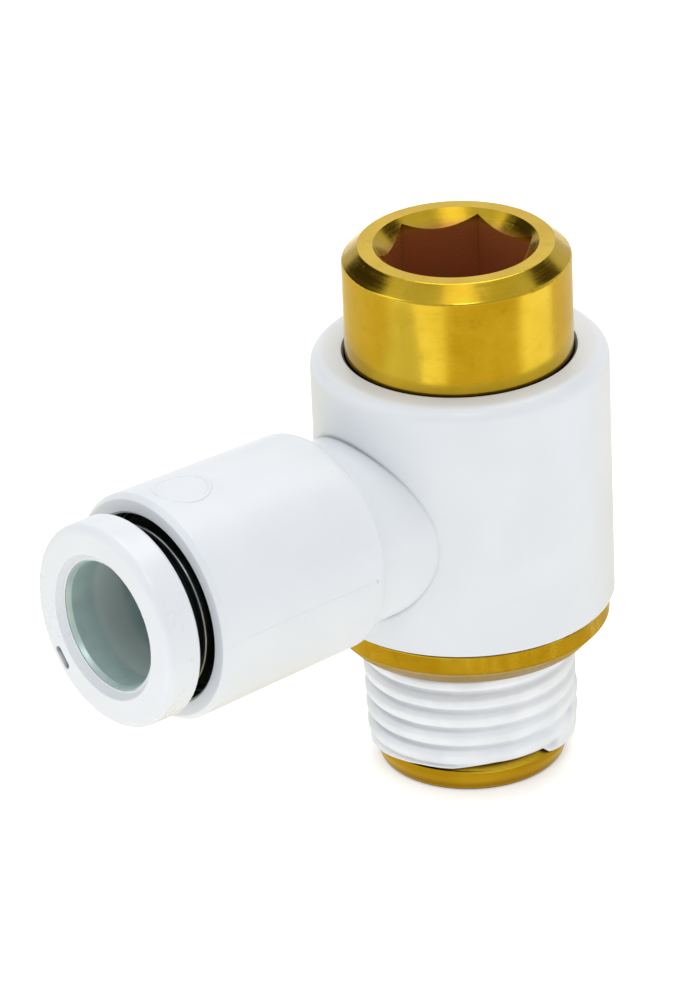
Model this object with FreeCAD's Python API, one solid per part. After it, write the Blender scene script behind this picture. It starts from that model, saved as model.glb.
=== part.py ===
import FreeCAD, Part
import math
import os

from FreeCAD import Vector

# Banjo flow control valve: a hollow brass stud with a taper pipe thread, and a white plastic elbow
# that swivels round it and holds a push-in socket for 8 mm tube. Millimetres, +Z up.
# Origin: the stud's axis at the underside of the brass flange, where the thread starts.
# The elbow's branch runs along -X.

# ---- driving dimensions -------------------------------------------------------------------------
TUBE_D = 8.0                    # outside diameter of the tube that pushes in
TUBE_STOP_DEPTH = 18.75         # from the button's face to the tube stop

THREAD_PITCH = 1.337            # R 1/4
THREAD_GAUGE_R = 13.157 / 2     # major radius at the gauge plane
THREAD_GAUGE_LENGTH = 6.0       # from the small end to the gauge plane
THREAD_DEPTH = 0.72
THREAD_LENGTH = 9.0
THREAD_RUNOUT = 10.5            # the groove is swept from this far below the flange
TAPER = 1 / 32                  # change of radius with length, 1:16 on diameter

FLANGE_R = 9.05
FLANGE_H = 2.35
BODY_R = 9.4
BODY_H = 17.2
HEAD_R = 7.2
HEAD_RISE = 7.15                # from the body's top to the head's top
HEX_AF = 8.5                    # across the flats
HEX_DEPTH = 6.7
HEX_TURN = 33.0                 # degrees from the branch, as assembled

BRANCH_RISE = 8.0               # from the body's bottom to the branch's axis
SLEEVE_ROOT_R = 7.09            # the sleeve widens to its mouth by the mould's draft
SLEEVE_MOUTH_R = 7.34
SLEEVE_START = 12.1             # all branch positions are distances from the stud's axis
SLEEVE_END = 25.4
NECK_R = 6.0
NECK_DROP = 0.35                # the neck's axis below the sleeve's
BUTTON_R = 6.6
BUTTON_FACE = 29.15
BUTTON_THICK = 2.5

BARREL_R = 6.68                 # the stud where the elbow runs on it
ELBOW_BORE_R = 6.75
END_PLAY = 0.12                 # at each end of the elbow's body
FIT = 0.02                      # between pieces that stay together

# ---- derived places -----------------------------------------------------------------------------
BODY_Z0 = FLANGE_H + END_PLAY
BODY_Z1 = BODY_Z0 + BODY_H
HEAD_Z1 = BODY_Z1 + HEAD_RISE
SHOULDER_Z = BODY_Z1 - 1.8      # floor of the recess that takes the head
HEAD_Z0 = SHOULDER_Z + END_PLAY
HEX_Z0 = HEAD_Z1 - HEX_DEPTH
BRANCH_Z = BODY_Z0 + BRANCH_RISE
TUBE_STOP = BUTTON_FACE - TUBE_STOP_DEPTH

SEAT_Z = 7.3                    # step that the orifice seat rests on
LOWER_RING_Z = 3.8              # middles of the O-rings and of the rows of cross holes
LOWER_HOLES_Z = 5.7
UPPER_HOLES_Z = 10.5
UPPER_RING_Z = 14.2
GUIDE_Z0 = 12.4
GUIDE_Z1 = 19.2
SNAP_Z = GUIDE_Z1 + FIT
NECKED_R = 5.2                  # the stud between its lands, where air runs round it
STUD_BORE_R = 3.6
PORT_BORE_R = 3.0
ORIFICE_R = 1.5
RING_CORD_R = 0.68
NEEDLE_SEAL_Z = 13.3

os.makedirs("parts", exist_ok=True)


# ---- helpers ------------------------------------------------------------------------------------
def outline(corners):
    """Closed wire in the XZ plane through (r, z) corners; a third number rounds that corner."""
    spots = [Vector(c[0], 0, c[1]) for c in corners]
    runs = []
    for i, here in enumerate(spots):
        radius = corners[i][2] if len(corners[i]) > 2 else 0
        back = (spots[i - 1] - here).normalize()
        ahead = (spots[(i + 1) % len(spots)] - here).normalize()
        half = back.getAngle(ahead) / 2
        trim = radius / math.tan(half)
        inward = (back + ahead).normalize() if radius else Vector(0, 0, 0)
        middle = here + inward * (radius / math.sin(half) - radius)
        runs.append((here + back * trim, middle, here + ahead * trim, radius))
    edges = []
    for i, (start, middle, end, radius) in enumerate(runs):
        if radius:
            edges.append(Part.Arc(start, middle, end).toShape())
        following = runs[(i + 1) % len(runs)][0]
        if (following - end).Length > 1e-6:
            edges.append(Part.LineSegment(end, following).toShape())
    return Part.Wire(edges)


def turned(corners):
    """Solid of revolution about Z from (r, z) corners."""
    return Part.Face(outline(corners)).revolve(Vector(0, 0, 0), Vector(0, 0, 1), 360)


def tube(inner_r, outer_r, z0, z1):
    return turned([(inner_r, z0), (outer_r, z0), (outer_r, z1), (inner_r, z1)])


def rod(radius, z0, z1):
    return Part.makeCylinder(radius, z1 - z0, Vector(0, 0, z0))


def o_ring(inner_r, outer_r, z):
    cord = (outer_r - inner_r) / 2
    return Part.makeTorus(inner_r + cord, cord, Vector(0, 0, z))


def cross_holes(count, radius, length, z, first=0.0):
    """Rods that point outwards from the axis, to be cut from a stud."""
    holes = []
    for i in range(count):
        turn = math.radians(first + 360 * i / count)
        outwards = Vector(math.cos(turn), math.sin(turn), 0)
        holes.append(Part.makeCylinder(radius, length, Vector(0, 0, z), outwards))
    return holes


def on_branch(shape):
    """Carry a piece modelled along +Z, with z the distance from the stud's axis, to the branch."""
    shape.Placement = FreeCAD.Placement(Vector(0, 0, BRANCH_Z), FreeCAD.Rotation(Vector(0, 1, 0), -90))
    return shape


def hexagon(across_flats, z0, z1, turn):
    corners = []
    for i in range(7):
        angle = math.radians(turn + 60 * i)
        reach = across_flats / math.sqrt(3)
        corners.append(Vector(reach * math.cos(angle), reach * math.sin(angle), z0))
    return Part.Face(Part.makePolygon(corners)).extrude(Vector(0, 0, z1 - z0))


def thread_major_r(z):
    return THREAD_GAUGE_R + (z + THREAD_LENGTH - THREAD_GAUGE_LENGTH) * TAPER


def helical_groove(top_z, depth, root_half, mouth_half, swell=0.0):
    """The V groove of the taper thread, swept up to top_z; swell moves it outwards."""
    start_r = thread_major_r(-THREAD_RUNOUT) + swell
    helix = Part.makeHelix(THREAD_PITCH, THREAD_RUNOUT + top_z, start_r, math.degrees(math.atan(TAPER)))
    over = 0.06
    corners = [
        Vector(start_r + over, 0, -mouth_half),
        Vector(start_r - depth, 0, -root_half),
        Vector(start_r - depth, 0, root_half),
        Vector(start_r + over, 0, mouth_half),
    ]
    sweep = Part.BRepOffsetAPI.MakePipeShell(Part.Wire(helix.Edges))
    sweep.setFrenetMode(True)
    sweep.add(Part.makePolygon(corners + corners[:1]))
    sweep.build()
    sweep.makeSolid()
    groove = sweep.shape()
    groove.translate(Vector(0, 0, -THREAD_RUNOUT))
    return groove


def write(node, shape):
    solids = shape.Solids
    shape = solids[0] if len(solids) == 1 else Part.makeCompound(solids)
    shape.exportStep(f"parts/{node}.step")
    print(f"{node:16s} solids {len(solids)}  valid {shape.isValid()}  volume {shape.Volume:9.2f}")


# ---- stud ---------------------------------------------------------------------------------------
COAT_Z0 = -6.9                  # the sealant leaves the last turns bare
COAT_Z1 = -0.55
COAT = 0.12                     # thickness over the crests
LAND_Z = -0.15                  # lower end of the land that carries the flange
UNDERCUT_Z = -0.9               # upper end of the thread
UNDERCUT_R = 5.85
LEAD_Z = -7.4                   # the thread starts above a plain lead
LEAD_R = 6.3


def threaded_core():
    """The thread and its undercut, running on past the stud's lower end."""
    below = -THREAD_LENGTH - 1
    core = turned([
        (0, below),
        (thread_major_r(below), below),
        (thread_major_r(UNDERCUT_Z), UNDERCUT_Z),
        (UNDERCUT_R, UNDERCUT_Z + 0.28),
        (UNDERCUT_R, 1),
        (0, 1),
    ])
    return core.cut(helical_groove(-0.5, THREAD_DEPTH, 0.09, 0.62))


def ring_groove(z, half=0.8):
    return tube(BARREL_R - 2 * RING_CORD_R - 0.02, BARREL_R + 1, z - half, z + half)


def valve_stud():
    """Head with hexagon socket, barrel with lands and air grooves, taper thread, all bored through."""
    kept = rod(HEAD_R, LEAD_Z - 0.1, 1)
    lead = turned([
        (0, -THREAD_LENGTH),
        (LEAD_R - 0.45, -THREAD_LENGTH, 0.35),
        (LEAD_R, -THREAD_LENGTH + 1.2, 0.25),
        (LEAD_R, LEAD_Z),
        (0, LEAD_Z),
    ])
    upper = turned([
        (0, LAND_Z - 0.2),
        (UNDERCUT_R, LAND_Z - 0.2),
        (UNDERCUT_R, LAND_Z - 0.1),
        (6.6, LAND_Z),
        (BARREL_R, LAND_Z + 0.1),
        (BARREL_R, HEAD_Z0),
        (HEAD_R - 0.15, HEAD_Z0),
        (HEAD_R, HEAD_Z0 + 0.15),
        (HEAD_R, HEAD_Z1 - 0.95, 0.25),
        (HEAD_R - 1.05, HEAD_Z1, 0.12),
        (0, HEAD_Z1),
    ])
    lower_neck = tube(NECKED_R, BARREL_R + 1, 4.9, 6.5)
    lip_groove = tube(NECKED_R, BARREL_R + 1, 6.6, 8.0)
    upper_neck = tube(NECKED_R, BARREL_R + 1, 8.15, 12.9)
    countersink = turned([
        (0, HEAD_Z1 - 1.6),
        (3.6, HEAD_Z1 - 1.6),
        (5.2, HEAD_Z1 + 0.001),
        (0, HEAD_Z1 + 0.001),
    ])
    port_mouth = turned([
        (0, -THREAD_LENGTH - 0.01),
        (3.6, -THREAD_LENGTH - 0.01),
        (PORT_BORE_R, -THREAD_LENGTH + 0.6),
        (0, -THREAD_LENGTH + 0.6),
    ])
    cuts = [
        ring_groove(LOWER_RING_Z),
        ring_groove(UPPER_RING_Z),
        lower_neck,
        lip_groove,
        upper_neck,
        rod(PORT_BORE_R, -THREAD_LENGTH - 1, SEAT_Z + 1),
        port_mouth,
        rod(STUD_BORE_R, SEAT_Z, HEX_Z0 + 1),
        tube(STUD_BORE_R - 0.5, 3.95, SNAP_Z, SNAP_Z + 0.62),
        hexagon(HEX_AF, HEX_Z0, HEAD_Z1 + 1, HEX_TURN),
        countersink,
    ]
    cuts += cross_holes(6, 0.75, BARREL_R, LOWER_HOLES_Z, first=30)
    cuts += cross_holes(4, 1.2, BARREL_R, UPPER_HOLES_Z, first=45)
    stud = threaded_core().common(kept).fuse([lead, upper])
    for cut in cuts:
        stud = stud.cut(cut)
    return stud


def seat_flange():
    """Brass ring pressed on the stud below the elbow; its underside meets the port's face."""
    return turned([
        (BARREL_R + FIT, 0.27),
        (BARREL_R + 0.27, 0),
        (FLANGE_R - 1.0, 0, 0.1),
        (FLANGE_R, 1.1, 0.2),
        (FLANGE_R, FLANGE_H, 0.12),
        (BARREL_R + FIT, FLANGE_H),
    ])


def thread_sealant():
    """White coat that follows the thread's ridges, thicker at its lower edge."""
    low, high = COAT_Z0, COAT_Z1
    coat = turned([
        (0, low),
        (thread_major_r(low) + 0.02, low),
        (thread_major_r(low) + COAT, low + 0.25),
        (thread_major_r(high) + COAT, high - 0.35),
        (thread_major_r(high) - 0.3, high),
        (0, high),
    ])
    return coat.cut(helical_groove(0.3, 0.42, 0.16, 0.56, swell=COAT)).cut(threaded_core())


def orifice_seat():
    """Ring whose bevelled hole the needle closes."""
    return turned([
        (ORIFICE_R, SEAT_Z),
        (STUD_BORE_R - FIT, SEAT_Z),
        (STUD_BORE_R - FIT, SEAT_Z + 1.3),
        (ORIFICE_R + 0.35, SEAT_Z + 1.3),
        (ORIFICE_R, SEAT_Z + 0.95),
    ])


def needle():
    """Metering cone, stem, piston with a seal groove, threaded shoulder and screwdriver slot."""
    seal = NEEDLE_SEAL_Z
    stem = turned([
        (0, 7.6),
        (0.45, 7.6),
        (ORIFICE_R - 0.06, 8.25),
        (ORIFICE_R - 0.06, 12.3),
        (2.18, 12.5),
        (2.18, seal - 0.42),
        (1.55, seal - 0.42),
        (1.55, seal + 0.42),
        (2.18, seal + 0.42),
        (2.18, 15.75),
        (2.43, 16.0),
        (2.43, 17.0),
        (2.2, 17.2),
        (0, 17.2),
    ])
    slot = Part.makeBox(6, 0.8, 1.0, Vector(-3, -0.4, 16.3))
    return stem.cut(slot)


def needle_guide():
    """Bush that holds the needle: smooth bore for its seal, threaded bore above."""
    outer = STUD_BORE_R - FIT
    groove = 13.9
    return turned([
        (2.25, GUIDE_Z0),
        (outer, GUIDE_Z0),
        (outer, groove - 0.45),
        (outer - 0.72, groove - 0.45),
        (outer - 0.72, groove + 0.45),
        (outer, groove + 0.45),
        (outer, GUIDE_Z1),
        (2.5, GUIDE_Z1),
        (2.5, 15.7),
        (2.25, 15.7),
    ])


def guide_snap_ring():
    """Open ring sprung into the stud's groove above the guide."""
    ring = tube(2.75, 3.9, SNAP_Z + FIT, SNAP_Z + 0.58)
    gap = Part.makeBox(5, 1.8, 2, Vector(0, -0.9, SNAP_Z - 0.5))
    return ring.cut(gap)


def lip_seal():
    """One-way seal: the lip opens downwards, so air can pass only from the tube to the port."""
    return turned([
        (NECKED_R + FIT, 6.65),
        (NECKED_R + 0.45, 6.65),
        (NECKED_R + 0.55, 7.4),
        (6.2, 7.4),
        (6.45, 6.65),
        (BARREL_R + 0.04, 6.62),
        (6.5, 7.6),
        (6.3, 7.95),
        (NECKED_R + FIT, 7.95),
    ])


# ---- elbow --------------------------------------------------------------------------------------
SEAL_SEAT_R = 5.6               # bores of the push-in socket, from the stop outwards
SEAL_X0 = 14.2
CHUCK_X = 17.0
SOCKET_R = 6.0
SOCKET_MOUTH_R = 6.1
GUIDE_MOUTH_R = 5.5
COLLET_R = TUBE_D / 2 + 0.05
COLLET_WALL = 0.18
COLLET_TIP_R = 4.42             # rolled edge that meets the chuck's teeth
COLLET_NECK_R = 4.95            # thicker part that carries the button's disc
TUBE_SEAT_R = TUBE_D / 2 + 0.05
GATE_PLACE_R = 5.62             # small oblong recess in the button's face
GATE_TURN = 131.0               # degrees round the branch from its top
GATE_R = 0.26
GATE_SPAN = 1.05
GATE_DEPTH = 0.35
RECESS_GAP = 0.08               # round the head, where it sits in the body


def elbow_body():
    """Round body on the stud, with a neck and a larger sleeve for the push-in socket."""
    barrel = turned([
        (0, BODY_Z0),
        (BODY_R, BODY_Z0, 0.25),
        (BODY_R, BODY_Z1, 0.9),
        (0, BODY_Z1),
    ])
    neck = on_branch(rod(NECK_R, 0, SLEEVE_START + 1))
    neck.translate(Vector(0, 0, -NECK_DROP))
    sleeve = on_branch(turned([
        (0, SLEEVE_START),
        (SLEEVE_ROOT_R, SLEEVE_START, 0.8),
        (SLEEVE_MOUTH_R, SLEEVE_END - 0.35),
        (SLEEVE_MOUTH_R - 0.3, SLEEVE_END, 0.12),
        (0, SLEEVE_END),
    ]))
    shell = barrel.fuse([neck, sleeve]).removeSplitter()
    socket = turned([
        (0, TUBE_STOP),
        (TUBE_SEAT_R, TUBE_STOP),
        (TUBE_SEAT_R, SEAL_X0),
        (SEAL_SEAT_R, SEAL_X0),
        (SEAL_SEAT_R, CHUCK_X),
        (SOCKET_R, CHUCK_X),
        (SOCKET_R, SLEEVE_END - 1.6),
        (SOCKET_MOUTH_R, SLEEVE_END - 1.5),
        (SOCKET_MOUTH_R, SLEEVE_END - 0.15),
        (SOCKET_MOUTH_R + 0.16, SLEEVE_END + 0.01),
        (0, SLEEVE_END + 0.01),
    ])
    recess = turned([
        (0, SHOULDER_Z),
        (HEAD_R + RECESS_GAP, SHOULDER_Z),
        (HEAD_R + RECESS_GAP, BODY_Z1 - 0.15),
        (HEAD_R + RECESS_GAP + 0.16, BODY_Z1 + 0.01),
        (0, BODY_Z1 + 0.01),
    ])
    for cut in (
        rod(ELBOW_BORE_R, BODY_Z0 - 1, BODY_Z1 + 1),
        recess,
        on_branch(rod(2.3, 0, TUBE_STOP + 1)),
        on_branch(socket),
    ):
        shell = shell.cut(cut)
    return shell


def tube_seal():
    """Rubber seal with a lip that meets the tube."""
    return on_branch(turned([
        (TUBE_D / 2 + 0.35, SEAL_X0 + 0.04),
        (SEAL_SEAT_R - FIT, SEAL_X0 + 0.04),
        (SEAL_SEAT_R - FIT, SEAL_X0 + 1.1),
        (4.7, SEAL_X0 + 1.1),
        (TUBE_D / 2 + 0.03, SEAL_X0 + 0.55),
    ]))


def chuck_spacer():
    """Ring between seal and chuck; its bevel leaves room for the teeth to bend back."""
    return on_branch(turned([
        (4.6, 15.35),
        (SEAL_SEAT_R - FIT, 15.35),
        (SEAL_SEAT_R - FIT, CHUCK_X - FIT),
        (5.38, CHUCK_X - FIT),
        (5.38, 16.6),
        (4.6, 15.75),
    ]))


def chuck():
    """Spring steel ring whose inward teeth grip the tube."""
    teeth = 12
    ring = turned([
        (TUBE_D / 2 + 0.08, 15.4),
        (5.3, 16.75),
        (5.3, CHUCK_X),
        (SOCKET_R - 0.04, CHUCK_X),
        (SOCKET_R - 0.04, CHUCK_X + 0.3),
        (5.2, CHUCK_X + 0.3),
        (TUBE_D / 2 + 0.08, 15.7),
    ])
    for i in range(teeth):
        slot = Part.makeBox(4, 0.55, 4, Vector(1.2, -0.275, 14))
        slot.rotate(Vector(0, 0, 0), Vector(0, 0, 1), 360 * i / teeth)
        ring = ring.cut(slot)
    return on_branch(ring)


def socket_guide():
    """Stainless guide that locks the chuck in; its thin front edge shows inside the mouth."""
    return on_branch(turned([
        (5.45, CHUCK_X + 0.33),
        (SOCKET_R - FIT, CHUCK_X + 0.33),
        (SOCKET_R - FIT, 23.4),
        (GUIDE_MOUTH_R, 23.6),
        (GUIDE_MOUTH_R, SLEEVE_END + 0.1, 0.08),
        (GUIDE_MOUTH_R - 0.3, SLEEVE_END + 0.1, 0.08),
        (GUIDE_MOUTH_R - 0.3, 20.2),
        (5.0, 20.2),
        (5.0, 19.4),
        (5.45, 19.4),
    ]))


def release_button():
    """Disc on the collet's end, pressed towards the sleeve to free the tube; a small recess marks its gate."""
    back = BUTTON_FACE - BUTTON_THICK
    inner = COLLET_R + COLLET_WALL + FIT
    disc = turned([
        (inner, back),
        (BUTTON_R, back, 0.35),
        (BUTTON_R, BUTTON_FACE, 0.6),
        (COLLET_R + 0.66, BUTTON_FACE, 0.1),
        (COLLET_R + 0.36, BUTTON_FACE - 0.45),
        (inner, BUTTON_FACE - 0.45),
    ])
    floor = BUTTON_FACE - GATE_DEPTH
    recess = [Part.makeBox(2 * GATE_R, GATE_SPAN, 1, Vector(GATE_PLACE_R - GATE_R, -GATE_SPAN / 2, floor))]
    for end in (-GATE_SPAN / 2, GATE_SPAN / 2):
        recess.append(Part.makeCylinder(GATE_R, 1, Vector(GATE_PLACE_R, end, floor)))
    for cut in recess:
        cut.rotate(Vector(0, 0, 0), Vector(0, 0, 1), GATE_TURN)
        disc = disc.cut(cut)
    return on_branch(disc)


def collet():
    """Stainless sleeve through the button; its bead keeps both in, its tip spreads the teeth."""
    back = BUTTON_FACE - BUTTON_THICK - FIT
    outer = COLLET_R + COLLET_WALL
    return on_branch(turned([
        (COLLET_R, 17.35),
        (COLLET_TIP_R, 17.35),
        (COLLET_TIP_R, 18.55),
        (5.3, 18.65),
        (5.3, 19.0),
        (outer, 19.15),
        (outer, 21.6),
        (COLLET_NECK_R, 21.6),
        (COLLET_NECK_R, back),
        (outer, back),
        (outer, BUTTON_FACE - 0.5),
        (COLLET_R + 0.12, BUTTON_FACE - 0.5),
        (COLLET_R, BUTTON_FACE - 0.8),
    ]))


# ---- pieces -------------------------------------------------------------------------------------
write("valve_stud", valve_stud())
write("seat_flange", seat_flange())
write("thread_sealant", thread_sealant())
write("orifice_seat", orifice_seat())
write("needle", needle())
write("needle_o_ring", o_ring(1.57, 2.22, NEEDLE_SEAL_Z))
write("needle_guide", needle_guide())
write("guide_o_ring", o_ring(STUD_BORE_R - 0.72, STUD_BORE_R - FIT, 13.9))
write("guide_snap_ring", guide_snap_ring())
write("lip_seal", lip_seal())
write("lower_o_ring", o_ring(BARREL_R - 2 * RING_CORD_R + 0.04, BARREL_R + 0.04, LOWER_RING_Z))
write("upper_o_ring", o_ring(BARREL_R - 2 * RING_CORD_R + 0.04, BARREL_R + 0.04, UPPER_RING_Z))
write("elbow_body", elbow_body())
write("tube_seal", tube_seal())
write("chuck_spacer", chuck_spacer())
write("chuck", chuck())
write("socket_guide", socket_guide())
write("release_button", release_button())
write("collet", collet())
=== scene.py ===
import math

import bpy
from mathutils import Matrix, Vector, noise


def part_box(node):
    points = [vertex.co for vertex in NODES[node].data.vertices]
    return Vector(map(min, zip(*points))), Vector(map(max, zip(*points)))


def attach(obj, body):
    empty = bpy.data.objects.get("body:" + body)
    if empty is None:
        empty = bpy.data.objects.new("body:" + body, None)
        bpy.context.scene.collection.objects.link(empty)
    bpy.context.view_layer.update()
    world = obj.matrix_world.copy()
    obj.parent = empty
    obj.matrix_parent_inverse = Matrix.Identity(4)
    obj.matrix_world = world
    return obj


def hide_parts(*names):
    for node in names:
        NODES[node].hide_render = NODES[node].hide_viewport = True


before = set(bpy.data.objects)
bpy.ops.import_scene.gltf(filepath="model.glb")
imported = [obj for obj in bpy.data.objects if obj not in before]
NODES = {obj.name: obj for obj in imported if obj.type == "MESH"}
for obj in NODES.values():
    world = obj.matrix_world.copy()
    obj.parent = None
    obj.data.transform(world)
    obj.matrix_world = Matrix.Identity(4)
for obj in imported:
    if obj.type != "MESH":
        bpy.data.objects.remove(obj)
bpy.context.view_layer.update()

# ---- places read from the frame, in metres --------------------------------------------------------
MM = 0.001
STUD_LOW, STUD_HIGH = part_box("valve_stud")
ELBOW_LOW, ELBOW_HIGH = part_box("elbow_body")
BUTTON_LOW, BUTTON_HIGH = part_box("release_button")
BRANCH_Z = (BUTTON_LOW.z + BUTTON_HIGH.z) / 2
FACE_X = BUTTON_LOW.x
MOUTH_X = ELBOW_LOW.x
FLOOR_Z = STUD_LOW.z
BODY_MID = Vector((0, 0, (FLOOR_Z + STUD_HIGH.z) / 2))

# Measures of the part that its boxes don't give, in millimetres along Z or from the stud's axis
SLEEVE_START = 12.1
SLEEVE_ROOT_R = 7.09            # it widens from here to its mouth
SLEEVE_MOUTH_R = 7.34
THREAD_PITCH = 1.337
COAT_TOP = -0.3                 # the sealant runs up to the flange's underside
THREAD_START = -10.5            # millimetres below the flange where the thread's helix begins


# ---- procedural materials -------------------------------------------------------------------------
class Shader:
    """A material under construction: short calls add nodes and return their outputs."""

    def __init__(self, name, **fixed):
        self.material = bpy.data.materials.new(name)
        self.material.use_nodes = True
        self.tree = self.material.node_tree
        self.bsdf = self.tree.nodes["Principled BSDF"]
        for socket, value in fixed.items():
            self.bsdf.inputs[socket.replace("_", " ")].default_value = value
        self.place = self.tree.nodes.new("ShaderNodeTexCoord").outputs["Object"]
        self.height = None

    def put(self, socket, value):
        if isinstance(value, bpy.types.NodeSocket):
            self.tree.links.new(value, socket)
        elif value is not None:
            socket.default_value = value

    def node(self, kind, inputs, output=0, **settings):
        made = self.tree.nodes.new(kind)
        for key, value in settings.items():
            setattr(made, key, value)
        for key, value in inputs.items():
            self.put(made.inputs[key], value)
        return made.outputs[output]

    def math(self, operation, a, b):
        return self.node("ShaderNodeMath", {0: a, 1: b}, operation=operation)

    def vector(self, operation, a, b=None, output=0):
        return self.node("ShaderNodeVectorMath", {0: a, 1: b}, output, operation=operation)

    def split(self, vector):
        made = self.tree.nodes.new("ShaderNodeSeparateXYZ")
        self.put(made.inputs[0], vector)
        return made.outputs

    def join(self, x, y, z):
        return self.node("ShaderNodeCombineXYZ", {0: x, 1: y, 2: z})

    def noise(self, scale, detail=3.0, rough=0.5, at=None, distortion=0.0):
        """Fractal noise with features of 1 / scale metres."""
        return self.node("ShaderNodeTexNoise", {
            "Vector": at or self.place, "Scale": scale, "Detail": detail,
            "Roughness": rough, "Distortion": distortion})

    def span(self, value, low, high, to_low=0.0, to_high=1.0):
        """value between low and high, eased, as a number between to_low and to_high."""
        return self.node("ShaderNodeMapRange", {
            "Value": value, "From Min": low, "From Max": high, "To Min": to_low, "To Max": to_high},
            interpolation_type="SMOOTHSTEP")

    def blend(self, share, a, b):
        made = self.tree.nodes.new("ShaderNodeMix")
        made.data_type = "RGBA"
        self.put(made.inputs[0], share)
        for socket, colour in ((made.inputs[6], a), (made.inputs[7], b)):
            self.put(socket, (*colour, 1.0) if isinstance(colour, tuple) else colour)
        return made.outputs[2]

    def bump(self, height, depth):
        """Adds relief of that depth in metres on top of what is there."""
        self.height = self.node("ShaderNodeBump", {
            "Height": height, "Distance": depth, "Strength": 1.0, "Normal": self.height})

    def painted_crease_shade(self, colour, dark, reach):
        """Painted shade: darkens corners and gaps that are narrower than reach, in metres."""
        openness = self.node("ShaderNodeAmbientOcclusion", {"Distance": reach}, output=1, samples=12)
        return self.blend(self.span(openness, 0.3, 0.93, 1.0, 0.0), colour, dark)

    def done(self, colour=None, roughness=None):
        self.put(self.bsdf.inputs["Base Color"], colour)
        self.put(self.bsdf.inputs["Roughness"], roughness)
        if self.height:
            self.put(self.bsdf.inputs["Normal"], self.height)
        return self.material


def turned_place(shader, branch=False):
    """Coordinates in which noise makes lathe rings: nearly constant round the axis of turning."""
    x, y, z = shader.split(shader.place)
    if branch:
        across, up, along = y, shader.math("SUBTRACT", z, BRANCH_Z), x
    else:
        across, up, along = x, y, z
    radius = shader.vector("LENGTH", shader.join(across, up, 0.0), output=1)
    drift = shader.math("MULTIPLY", across, 0.02)
    return shader.join(radius, along, drift), radius, along


def brass(name, pale, deep, rough, rings):
    """Turned brass: cloudy tone, random stains, lathe rings, fine scratches, and painted shade in corners,
    in the socket, at the flange's lower edge and at the foot.
    """
    s = Shader(name, Metallic=1.0)
    rings_at, radius, along = turned_place(s)
    cloud = s.noise(260.0, 4.0, 0.55)
    feed = s.noise(9000.0, 2.0, 0.6, at=rings_at)
    band = s.noise(1400.0, 3.0, 0.6, at=rings_at)
    colour = s.blend(s.span(cloud, 0.35, 0.65), deep, pale)
    stain = s.span(s.noise(900.0, 6.0, 0.65), 0.56, 0.74, 0.0, 0.35)
    colour = s.blend(stain, colour, tuple(0.72 * c for c in deep))
    # Painted shade and reflection: the hex socket's inside is painted dark reddish-brown and made less
    # metallic, for the dim brass-tinted light in that recess.
    painted_shade_inside = s.math("MULTIPLY", s.span(radius, 4.85 * MM, 4.95 * MM, 1.0, 0.0),
                    s.span(along, STUD_HIGH.z - 1.2 * MM, STUD_HIGH.z - 0.4 * MM, 1.0, 0.0))
    colour = s.blend(painted_shade_inside, colour, (0.42, 0.13, 0.04))
    # Painted shade: darker towards the flange's lower edge and at the stud's foot, where the brass sees
    # the shaded floor close by.
    painted_shade_rim = s.math("MULTIPLY", s.span(radius, 6.7 * MM, 6.9 * MM),
                 s.span(along, 0.6 * MM, 1.3 * MM, 0.85, 0.0))
    painted_shade_foot = s.span(along, FLOOR_Z + 0.35 * MM, FLOOR_Z + 0.9 * MM, 0.8, 0.0)
    colour = s.blend(s.math("MAXIMUM", painted_shade_rim, painted_shade_foot), colour, (0.36, 0.2, 0.012))
    # Painted shade in corners, creases and gaps.
    colour = s.painted_crease_shade(colour, (0.12, 0.06, 0.012), 0.35 * MM)
    s.put(s.bsdf.inputs["Metallic"], s.math("SUBTRACT", 1.0, s.math("MULTIPLY", painted_shade_inside, 0.6)))
    roughness = s.math("ADD", s.span(feed, 0.3, 0.7, rough * 0.8, rough * 1.25),
                       s.span(s.noise(1500.0, 5.0, 0.6), 0.45, 0.75, 0.0, 0.08))
    s.bump(feed, rings)
    s.bump(band, rings * 1.5)
    s.bump(s.noise(5200.0, 3.0, 0.5), 0.35e-6)
    return s.done(colour, roughness)


def moulded(name, colour, shade, rough, grain=2.2e-6, painted_bore_shade=None):
    """Injection-moulded plastic: satin skin, faint flow clouds and a few scuffs, with painted shade in
    creases and, where asked, in the socket's bore.
    """
    s = Shader(name, IOR=1.5)
    cloud = s.noise(190.0, 3.0, 0.5, distortion=0.6)
    tone = s.blend(s.span(cloud, 0.3, 0.7), shade, colour)
    skin = s.noise(6500.0, 2.0, 0.5)
    sink = s.noise(420.0, 2.0, 0.4)
    scuff = s.span(s.noise(2600.0, 3.0, 0.6), 0.5, 0.85)
    roughness = s.math("ADD", s.span(cloud, 0.3, 0.7, rough * 0.9, rough * 1.1),
                       s.math("MULTIPLY", scuff, 0.03))
    s.bump(skin, grain)
    s.bump(sink, grain * 3)
    # Painted shade in corners, creases and gaps.
    tone = s.painted_crease_shade(tone, (0.2, 0.21, 0.22), 0.45 * MM)
    # Painted shade inside the socket's bore, when a bore shade is given.
    if painted_bore_shade:
        tone = painted_bore_shade(s, tone)
    return s.done(tone, roughness)


def shaded_socket(s, tone):
    """Painted shade: inside the push-in socket the plastic is painted near-black, for the shade deep in
    the bore.
    """
    x, y, z = s.split(s.place)
    radius = s.vector("LENGTH", s.join(0.0, y, s.math("SUBTRACT", z, BRANCH_Z)), output=1)
    painted_shade_inside = s.math("MULTIPLY", s.span(radius, 6.36 * MM, 6.42 * MM, 1.0, 0.0),
                    s.span(x, MOUTH_X + 0.15 * MM, MOUTH_X + 0.5 * MM))
    within_sleeve = s.span(x, -12.9 * MM, -12.6 * MM, 1.0, 0.0)
    return s.blend(s.math("MULTIPLY", painted_shade_inside, within_sleeve), tone, (0.012, 0.016, 0.018))


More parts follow.
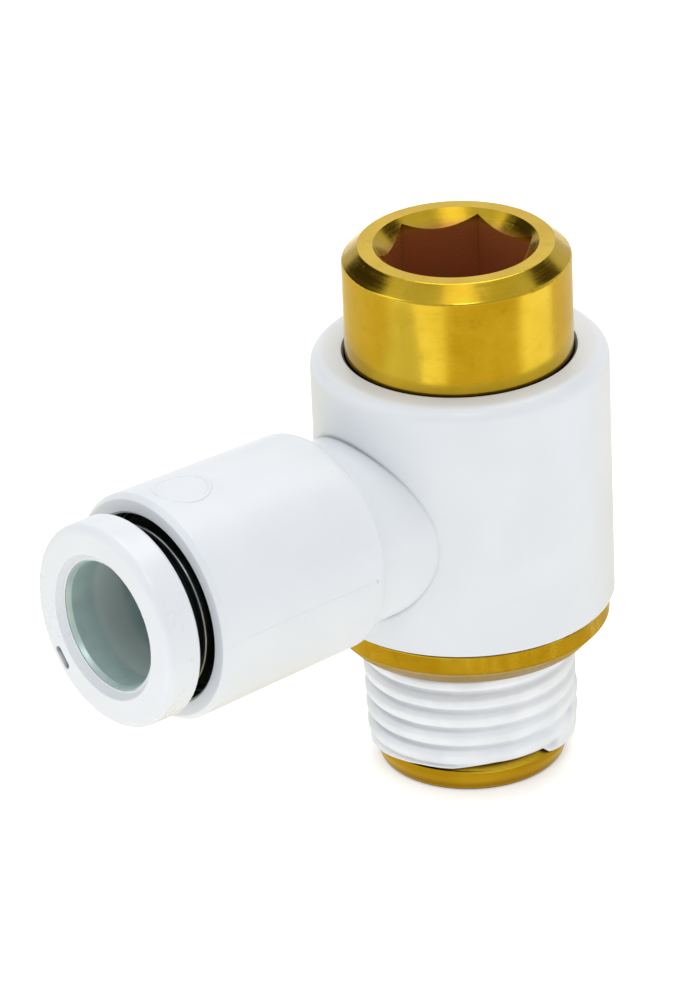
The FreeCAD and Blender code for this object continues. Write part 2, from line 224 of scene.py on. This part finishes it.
def steel(name, pale, deep, rough, metallic=1.0):
    """Turned stainless: rings round the branch and a cloudy tone, for the caller to finish."""
    s = Shader(name, Metallic=metallic)
    rings_at, radius, along = turned_place(s, branch=True)
    streak = s.noise(3800.0, 3.0, 0.6, at=rings_at)
    cloud = s.noise(520.0, 4.0, 0.6)
    colour = s.blend(s.span(cloud, 0.35, 0.65), deep, pale)
    s.bump(streak, 1.2e-6)
    return s, colour, s.span(streak, 0.3, 0.7, rough * 0.8, rough * 1.2), radius, along


def bright_steel():
    s, colour, roughness = steel("stainless_bright", (0.5, 0.52, 0.5), (0.4, 0.43, 0.42), 0.22)[:3]
    return s.done(colour, roughness)


def collet_steel():
    """Dull drawn bore with a painted highlight band near the mouth, painted shade deeper in, and painted
    shade that blackens the neck behind the button.
    """
    s, colour, roughness, radius, along = steel(
        "stainless_drawn", (0.6, 0.74, 0.72), (0.52, 0.65, 0.63), 0.42, 0.45)
    depth = s.math("SUBTRACT", along, FACE_X)
    # Painted highlight: a paler band 2.2 to 5.2 mm into the bore.
    painted_highlight_band = s.math("MULTIPLY", s.span(depth, 2.2 * MM, 2.8 * MM),
                    s.span(depth, 4.3 * MM, 5.2 * MM, 1.0, 0.0))
    colour = s.blend(painted_highlight_band, colour, (0.74, 0.82, 0.8))
    # Painted shade: darker deeper in the bore.
    colour = s.blend(s.span(depth, 5.5 * MM, 9.0 * MM), colour, (0.3, 0.38, 0.42))
    # Painted shade: the collet's outside, the neck seen behind the button, is painted near-black.
    colour = s.blend(s.span(radius, 4.3 * MM, 4.5 * MM), colour, (0.012, 0.016, 0.016))
    return s.done(colour, roughness)


def rubber(name):
    s = Shader(name, IOR=1.5)
    dust = s.span(s.noise(1800.0, 6.0, 0.7), 0.5, 0.75, 0.0, 0.5)
    colour = s.blend(dust, (0.018, 0.018, 0.02), (0.06, 0.06, 0.062))
    s.bump(s.noise(4200.0, 3.0, 0.6), 3e-6)
    return s.done(colour, s.span(s.noise(900.0, 3.0, 0.5), 0.3, 0.7, 0.42, 0.6))


def waxy(name):
    """Thread sealant: chalky white, with painted shade greying the thread's valleys."""
    s = Shader(name, IOR=1.46)
    cloud = s.noise(420.0, 3.0, 0.5)
    colour = s.blend(s.span(cloud, 0.3, 0.7), (0.81, 0.83, 0.86), (0.89, 0.905, 0.925))
    # Painted shade in the thread's valleys and other creases.
    colour = s.painted_crease_shade(colour, (0.3, 0.32, 0.35), 0.5 * MM)
    s.bump(s.noise(1700.0, 4.0, 0.6), 8e-6)
    s.bump(s.noise(7000.0, 2.0, 0.5), 2e-6)
    return s.done(colour, s.span(s.noise(2400.0, 3.0, 0.5), 0.3, 0.7, 0.42, 0.62))


BRASS_PALE, BRASS_DEEP = (0.69, 0.465, 0.036), (0.61, 0.395, 0.022)
finish = {
    "brass": brass("brass_polished", BRASS_PALE, BRASS_DEEP, 0.18, 0.5e-6),
    "brass_inner": brass("brass_machined", (0.74, 0.53, 0.15), (0.66, 0.46, 0.12), 0.26, 1.4e-6),
    "sealant": waxy("thread_sealant_wax"),
    "nitrile": rubber("nitrile_rubber"),
    "stainless": bright_steel(),
    "stainless_satin": collet_steel(),
    "white_plastic": moulded("elbow_plastic", (0.775, 0.797, 0.826), (0.752, 0.775, 0.808), 0.36,
                             painted_bore_shade=shaded_socket),
    "white_button": moulded("button_plastic", (0.79, 0.81, 0.838), (0.772, 0.793, 0.823), 0.3, 1.4e-6),
    "grey_plastic": moulded("spacer_plastic", (0.36, 0.36, 0.36), (0.31, 0.31, 0.32), 0.42),
}
for node in NODES.values():
    for index, material in enumerate(node.data.materials):
        node.data.materials[index] = finish[material.name.split(".")[0]]


# ---- pieces built here ----------------------------------------------------------------------------
def add_mesh(name, points, faces, slot, body):
    mesh = bpy.data.meshes.new(name)
    mesh.from_pydata([p * MM for p in points], [], faces)
    mesh.update()
    mesh.polygons.foreach_set("use_smooth", [True] * len(mesh.polygons))
    mesh.materials.append(finish[slot])
    piece = bpy.data.objects.new(name, mesh)
    bpy.context.scene.collection.objects.link(piece)
    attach(piece, body)
    return piece


def skin_loops(loops):
    """Quads between neighbouring loops of equal length; the last loop joins the first."""
    count = len(loops[0])
    faces = []
    for j in range(len(loops)):
        k = (j + 1) % len(loops)
        for i in range(count):
            n = (i + 1) % count
            faces.append((j * count + i, j * count + n, k * count + n, k * count + i))
    return faces


def eased(value, low, high):
    t = min(1.0, max(0.0, (value - low) / (high - low)))
    return t * t * (3 - 2 * t)


def between(value, stops):
    """Straight-line interpolation through (place, value) stops."""
    for (a, va), (b, vb) in zip(stops, stops[1:]):
        if value <= b:
            return va + (vb - va) * (max(value, a) - a) / (b - a)
    return stops[-1][1]


def sealant_coat():
    """White coat on the thread: soft ridges that fill towards one side, and a lapped second layer."""
    low_edge = [(0, -8.1), (60, -8.0), (141, -8.2), (166, -7.75), (198, -7.2), (217, -7.1), (243, -6.75),
                (274, -6.75), (280, -7.35), (309, -7.95), (360, -8.1)]
    stud_r = [(-9.0, 5.85), (-7.8, 6.3), (-7.42, 6.3), (-7.1, 6.45), (-0.5, 6.66)]
    around, rows = 288, 84
    top = COAT_TOP
    outer, inner = [], []
    for j in range(rows + 1):
        ring_out, ring_in = [], []
        for i in range(around):
            turn = 360 * i / around
            angle = math.radians(turn)
            outwards = Vector((math.cos(angle), math.sin(angle), 0))
            low = between(turn, low_edge) + 0.06 * noise.noise(outwards * 2.3 + Vector((0, 0, 4)))
            z = low + (top - low) * j / rows
            phase = (z - THREAD_START) / THREAD_PITCH - turn / 360
            valley = (0.5 + 0.5 * math.cos(2 * math.pi * phase)) ** 2.2 * eased(z, -7.5, -6.9)
            side = 0.5 + 0.5 * math.cos(math.radians(turn - 150))
            depth = 0.16 + 0.38 * side ** 0.8
            past = (turn - 277 - (z + 7.2) * 13.5) % 360
            lap = eased(past, 0, 4) * (1 - eased(past, 110, 190))
            lumps = noise.noise((outwards * 6.5 + Vector((0, 0, z))) * 0.9)
            edge = min(eased(z, low - 0.02, low + 0.3), 1 - eased(z, top - 0.14, top + 0.01))
            film = 0.2 + 0.12 * lap + 0.03 * lumps - depth * valley * (1 - 0.35 * lap)
            core = between(z, stud_r)
            ring_out.append(outwards * (core + 0.02 + (film - 0.02) * edge) + Vector((0, 0, z)))
            ring_in.append(outwards * (core - 0.5 - 0.3 * valley) + Vector((0, 0, z)))
        outer.append(ring_out)
        inner.append(ring_in)
    loops = outer + inner[::-1]
    points = [p for loop in loops for p in loop]
    coat = add_mesh("sealant_coat", points, skin_loops(loops), "sealant", "stud")
    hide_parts("thread_sealant")


def bead(name, path, normals, half_width, height, slot, body, closed=False):
    """A low rounded ridge moulded along a path on a surface, closed underneath."""
    section = [(-1.0, -0.6), (-0.95, 0.1), (-0.6, 0.75), (0.0, 1.0), (0.6, 0.75), (0.95, 0.1), (1.0, -0.6)]
    loops = []
    count = len(path)
    for i, (point, normal) in enumerate(zip(path, normals)):
        behind = path[i - 1] if closed or i else point
        ahead = path[(i + 1) % count] if closed or i + 1 < count else point
        side = (ahead - behind).normalized().cross(normal).normalized()
        end = min(i, count - 1 - i) if not closed else 9
        fade = eased(end, -0.5, 3.0)
        loops.append([point + side * (u * half_width) + normal * (v * height * fade) for u, v in section])
    points = [p for loop in loops for p in loop]
    faces = []
    wide = len(section)
    for j in range(count if closed else count - 1):
        k = (j + 1) % count
        for i in range(wide):
            n = (i + 1) % wide
            faces.append((j * wide + i, j * wide + n, k * wide + n, k * wide + i))
    if not closed:
        faces.append(tuple(range(wide))[::-1])
        faces.append(tuple((count - 1) * wide + i for i in range(wide)))
    return add_mesh(name, points, faces, slot, body)


def sleeve_radius(along):
    """The sleeve's radius at a distance from the stud's axis, both in millimetres."""
    share = (along - SLEEVE_START) / (-MOUTH_X / MM - SLEEVE_START)
    return SLEEVE_ROOT_R + (SLEEVE_MOUTH_R - SLEEVE_ROOT_R) * share


def on_sleeve(along, round_by):
    """Point and normal on the sleeve: millimetres from the stud's axis, and round from its top line."""
    radius = sleeve_radius(along)
    turn = round_by / radius
    normal = Vector((0, -math.sin(turn), math.cos(turn)))
    return Vector((-along, 0, BRANCH_Z / MM)) + normal * radius, normal


def sleeve_details():
    """The mould's parting lines, front and back, and the round mark of an ejector on top."""
    for side, name in ((1, "parting_line_front"), (-1, "parting_line_back")):
        spots = []
        for i in range(41):
            along = 13.1 + 11.85 * i / 40
            spots.append(on_sleeve(along, side * math.pi / 2 * sleeve_radius(along)))
        bead(name, [s[0] for s in spots], [s[1] for s in spots], 0.11, 0.016, "white_plastic", "elbow")
    turns = [2 * math.pi * i / 96 for i in range(96)]
    spots = [on_sleeve(22.5 + 1.75 * math.cos(a), 1.75 * math.sin(a)) for a in turns]
    bead("moulded_ring", [s[0] for s in spots], [s[1] for s in spots], 0.13, 0.035,
         "white_plastic", "elbow", closed=True)


sealant_coat()
sleeve_details()


# ---- camera ---------------------------------------------------------------------------------------
VIEW_TURN = math.radians(230.9)     # direction from the object to the camera, from +X about +Z
VIEW_LIFT = math.radians(27.0)
VIEW_ROLL = math.radians(-2.37)
VIEW_TARGET = Vector((-6.330, 3.668, 9.962)) * MM
VIEW_REACH = 441.6 * MM


def outward(turn, lift):
    return Vector((math.cos(turn) * math.cos(lift), math.sin(turn) * math.cos(lift), math.sin(lift)))


def camera():
    data = bpy.data.cameras.new("camera")
    data.sensor_fit = "HORIZONTAL"
    data.sensor_width = 36.0
    data.lens = 360.0
    data.clip_start, data.clip_end = 0.01, 20.0
    eye = bpy.data.objects.new("camera", data)
    bpy.context.scene.collection.objects.link(eye)
    back = outward(VIEW_TURN, VIEW_LIFT)
    eye.location = VIEW_TARGET + back * VIEW_REACH
    level = (-back).to_track_quat("-Z", "Y").to_matrix()
    eye.rotation_euler = (level @ Matrix.Rotation(VIEW_ROLL, 3, "Z")).to_euler()
    bpy.context.scene.camera = eye


camera()


# ---- studio ---------------------------------------------------------------------------------------
def seen_from_camera(turn_deg, lift_deg, reach):
    """A point round the stud: degrees to the right of the camera, degrees up, metres away."""
    return BODY_MID + outward(VIEW_TURN + math.radians(turn_deg), math.radians(lift_deg)) * reach


def aim(obj, place):
    obj.location = place
    obj.rotation_euler = (BODY_MID - place).to_track_quat("-Z", "Y").to_euler()


def softbox(name, turn_deg, lift_deg, reach, wide, high, radiance):
    data = bpy.data.lights.new(name, "AREA")
    data.shape = "RECTANGLE"
    data.size, data.size_y = wide, high
    data.energy = radiance * math.pi * wide * high
    lamp = bpy.data.objects.new(name, data)
    bpy.context.scene.collection.objects.link(lamp)
    aim(lamp, seen_from_camera(turn_deg, lift_deg, reach))


def card(name, place, shade, soft):
    """A card that only reflections see, fading out at its edges; place(u, v) gives its points."""
    wide, high = 48, 24
    points, cover = [], []
    for j in range(high + 1):
        for i in range(wide + 1):
            u, v = i / wide, j / high
            points.append(place(u, v))
            cover.append(eased(min(u, 1 - u), 0.0, soft) * eased(min(v, 1 - v), 0.0, soft))
    faces = []
    for j in range(high):
        for i in range(wide):
            k = j * (wide + 1) + i
            faces.append((k, k + 1, k + wide + 2, k + wide + 1))
    mesh = bpy.data.meshes.new(name)
    mesh.from_pydata(points, [], faces)
    mesh.attributes.new("cover", "FLOAT", "POINT").data.foreach_set("value", cover)
    material = bpy.data.materials.new(name)
    material.use_nodes = True
    tree = material.node_tree
    tree.nodes.clear()
    glow = tree.nodes.new("ShaderNodeEmission")
    glow.inputs["Color"].default_value = (*shade, 1)
    clear = tree.nodes.new("ShaderNodeBsdfTransparent")
    share = tree.nodes.new("ShaderNodeAttribute")
    share.attribute_name = "cover"
    mix = tree.nodes.new("ShaderNodeMixShader")
    out = tree.nodes.new("ShaderNodeOutputMaterial")
    tree.links.new(share.outputs["Fac"], mix.inputs[0])
    tree.links.new(clear.outputs[0], mix.inputs[1])
    tree.links.new(glow.outputs[0], mix.inputs[2])
    tree.links.new(mix.outputs[0], out.inputs["Surface"])
    mesh.materials.append(material)
    flag = bpy.data.objects.new(name, mesh)
    bpy.context.scene.collection.objects.link(flag)
    flag.visible_camera = flag.visible_diffuse = flag.visible_shadow = flag.visible_transmission = False


def hanging_card(name, turns, lifts, reach, shade):
    """A card that covers these degrees right of the camera and up, as the stud sees them."""
    def place(u, v):
        turn = turns[0] + (turns[1] - turns[0]) * u
        return seen_from_camera(turn, lifts[0] + (lifts[1] - lifts[0]) * v, reach)
    card(name, place, shade, 0.1)


def floor_card(name, turns, near, far, shade):
    """A card on the floor, over these degrees right of the camera."""
    def place(u, v):
        turn = VIEW_TURN + math.radians(turns[0] + (turns[1] - turns[0]) * u)
        radius = near + (far - near) * v
        return Vector((radius * math.cos(turn), radius * math.sin(turn), FLOOR_Z + 0.3 * MM))
    card(name, place, shade, 0.14)


def floor():
    half = 2.5
    mesh = bpy.data.meshes.new("floor")
    mesh.from_pydata([(-half, -half, FLOOR_Z), (half, -half, FLOOR_Z), (half, half, FLOOR_Z),
                      (-half, half, FLOOR_Z)], [], [(0, 1, 2, 3)])
    s = Shader("floor_paper", Roughness=0.9)
    s.put(s.bsdf.inputs["Emission Color"], (1.0, 1.0, 1.0, 1.0))
    s.put(s.bsdf.inputs["Emission Strength"], 0.45)
    tone = s.blend(s.noise(30.0), (0.84, 0.84, 0.84), (0.87, 0.87, 0.87))
    mesh.materials.append(s.done(tone))
    ground = bpy.data.objects.new("floor", mesh)
    bpy.context.scene.collection.objects.link(ground)


def studio():
    world = bpy.data.worlds.new("studio")
    world.use_nodes = True
    backdrop = world.node_tree.nodes["Background"]
    backdrop.inputs["Color"].default_value = (0.96, 0.98, 1.0, 1.0)
    backdrop.inputs["Strength"].default_value = 0.66
    bpy.context.scene.world = world
    bpy.context.scene.view_settings.view_transform = "Standard"
    floor()
    softbox("key", 8, 57, 0.34, 0.09, 0.07, 6.4)
    softbox("top", 160, 72, 0.4, 0.3, 0.22, 2.9)
    softbox("fill_left", -75, 30, 0.4, 0.2, 0.3, 0.9)
    hanging_card("flag_left", (-146, -90), (8, 50), 0.3, (0.04, 0.03, 0.02))
    hanging_card("flag_right", (99, 130), (22, 48), 0.3, (0.05, 0.035, 0.02))
    hanging_card("glow_behind", (148, 212), (14, 42), 0.3, (1.0, 1.0, 0.95))
    hanging_card("glow_above", (-30, 34), (59, 80), 0.3, (1.35, 1.3, 1.2))
    floor_card("floor_shade_front", (-20, 66), 0.02, 0.34, (0.8, 0.7, 0.3))
    floor_card("floor_shade_left", (-170, -60), 0.02, 0.34, (0.82, 0.74, 0.42))
    floor_card("floor_shade_right", (96, 170), 0.02, 0.34, (0.84, 0.74, 0.5))
    floor_card("floor_shade_near", (-200, 200), 0.0005, 0.05, (0.66, 0.55, 0.2))


studio()
